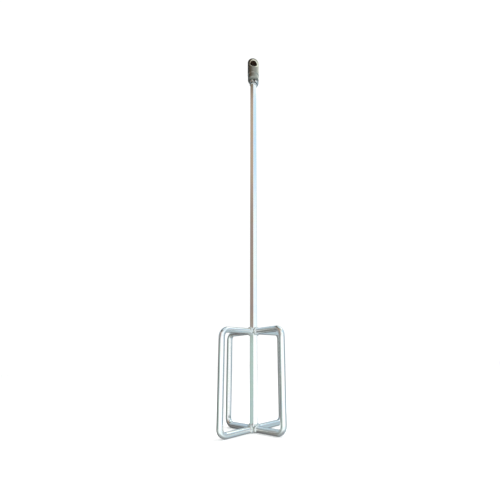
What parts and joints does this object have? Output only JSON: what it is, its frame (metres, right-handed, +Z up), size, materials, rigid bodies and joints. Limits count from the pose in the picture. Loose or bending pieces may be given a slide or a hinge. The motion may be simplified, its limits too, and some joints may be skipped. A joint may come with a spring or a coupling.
{
  "type": "mixing paddle",
  "caption": "Mortar mixing paddle: a hexagonal shaft with a cage of bent round-rod loops welded round its lower end and a round cross-drilled drive shank welded on its upper end.",
  "frame": {"origin": "on the shaft's axis at the height of the lowest line of the cage, on which the paddle stands", "axes": "+Z up along the shaft to the end of the drive shank; the loops lie along +X, -X, +Y and -Y"},
  "size_m": [0.115, 0.115, 0.6],
  "materials": {
    "zinc_plate": "bright blue-white zinc plate over drawn steel bar, with faint green and blue tints",
    "weld_metal": "zinc-plated weld beads, rippled and slightly rough",
    "shank_steel": "dull grey-olive steel, unplated, worn bright round the pin hole, which is dark and rusty inside"
  },
  "bodies": {
    "root": {"drive_shaft": "zinc_plate", "cage_rod_right": "zinc_plate", "top_weld_right": "weld_metal", "bottom_weld_right": "weld_metal", "cage_rod_back": "zinc_plate", "top_weld_back": "weld_metal", "bottom_weld_back": "weld_metal", "cage_rod_left": "zinc_plate", "top_weld_left": "weld_metal", "bottom_weld_left": "weld_metal", "cage_rod_front": "zinc_plate", "top_weld_front": "weld_metal", "bottom_weld_front": "weld_metal", "drive_shank": "shank_steel", "shank_weld_heavy": "weld_metal", "shank_weld_light": "weld_metal"}
  },
  "joints": []
}
